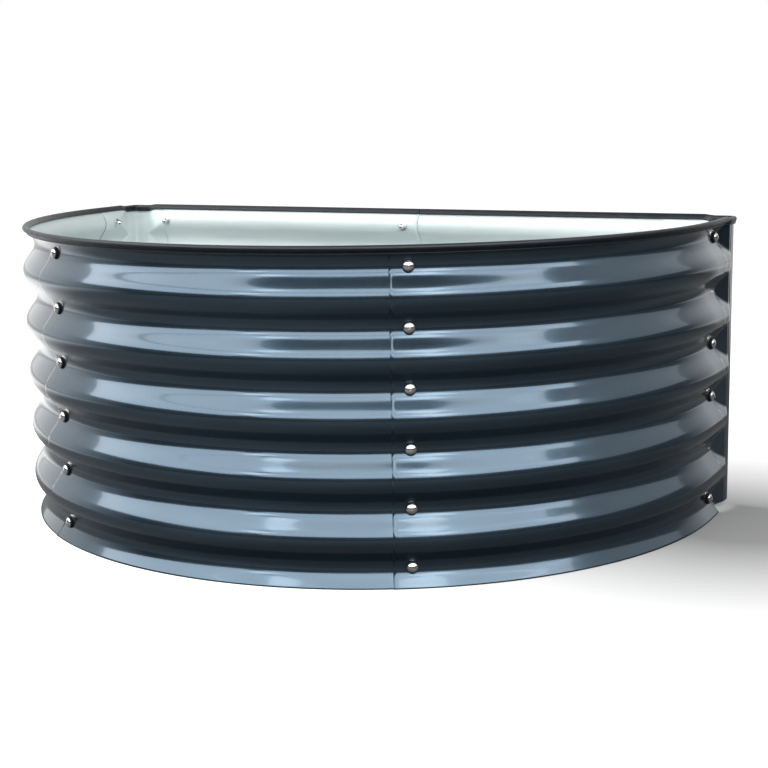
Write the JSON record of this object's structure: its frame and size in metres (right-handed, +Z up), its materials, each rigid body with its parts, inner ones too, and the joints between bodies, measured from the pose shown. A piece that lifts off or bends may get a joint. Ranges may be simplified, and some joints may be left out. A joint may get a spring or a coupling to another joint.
{
  "type": "raised garden bed",
  "caption": "Half-round raised garden bed of waved sheet steel, open at top and bottom, with formed corners, bolted laps and a rubber edge strip",
  "frame": {"origin": "middle of the bed's bounding box, on the ground", "axes": "+X to the right along the flat back, +Y towards the flat back, -Y towards the round front, +Z up"},
  "size_m": [1.069, 0.6463, 0.4316],
  "materials": {
    "painted_sheet": "gloss slate-blue paint outside, pale grey-green coating inside, light sheen",
    "edge_rubber": "black, fine braided grain, satin",
    "bolt_chrome": "bright zinc, polished",
    "washer_rubber": "black, matt",
    "nut_steel": "bright zinc, satin"
  },
  "bodies": {
    "root": {"corner_left": "painted_sheet", "corner_right": "painted_sheet", "front_panel_left": "painted_sheet", "front_panel_middle": "painted_sheet", "front_panel_right": "painted_sheet", "back_panel_left": "painted_sheet", "back_panel_right": "painted_sheet", "edge_trim": "edge_rubber", "bolts_left_side": "bolt_chrome", "bolts_front_left": "bolt_chrome", "bolts_front_right": "bolt_chrome", "bolts_right_side": "bolt_chrome", "bolts_back_right": "bolt_chrome", "bolts_back_middle": "bolt_chrome", "bolts_back_left": "bolt_chrome", "washers_left_side": "washer_rubber", "washers_front_left": "washer_rubber", "washers_front_right": "washer_rubber", "washers_right_side": "washer_rubber", "washers_back_right": "washer_rubber", "washers_back_middle": "washer_rubber", "washers_back_left": "washer_rubber", "nuts_left_side": "nut_steel", "nuts_front_left": "nut_steel", "nuts_front_right": "nut_steel", "nuts_right_side": "nut_steel", "nuts_back_right": "nut_steel", "nuts_back_middle": "nut_steel", "nuts_back_left": "nut_steel"}
  },
  "joints": []
}
